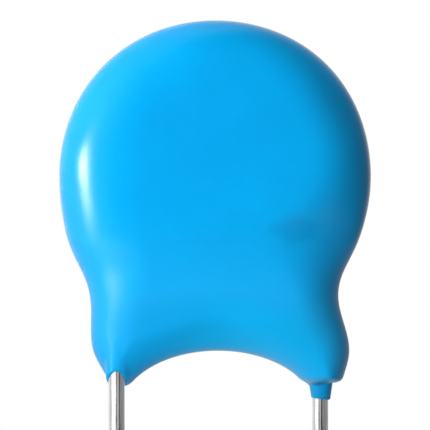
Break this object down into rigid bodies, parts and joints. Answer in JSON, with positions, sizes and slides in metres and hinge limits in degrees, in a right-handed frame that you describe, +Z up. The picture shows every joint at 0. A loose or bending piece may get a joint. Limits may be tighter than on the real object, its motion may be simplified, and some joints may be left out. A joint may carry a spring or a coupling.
{
  "type": "ceramic disc capacitor",
  "caption": "Round ceramic disc capacitor in glossy blue dipped epoxy, with straight tinned wire leads below for soldering into a circuit board.",
  "frame": {"origin": "midway between the two leads on the seating plane, where the coating on the rear lead ends and a board's top face would lie", "axes": "+Z up along the leads towards the disc, +X along the lead pitch from the front lead to the rear lead, front face towards -Y"},
  "size_m": [0.0115, 0.0038, 0.019],
  "materials": {
    "coating": "glossy dipped epoxy with a fine orange peel",
    "tinned_wire": "bright hot-tinned drawn wire",
    "ceramic": "fired, matt",
    "silver": "fired silver paste, satin",
    "solder": "solidified solder, satin"
  },
  "bodies": {
    "root": {"epoxy_coating": "coating", "front_lead": "tinned_wire", "rear_lead": "tinned_wire", "ceramic_disc": "ceramic", "front_electrode": "silver", "rear_electrode": "silver", "front_solder": "solder", "rear_solder": "solder"}
  },
  "joints": []
}
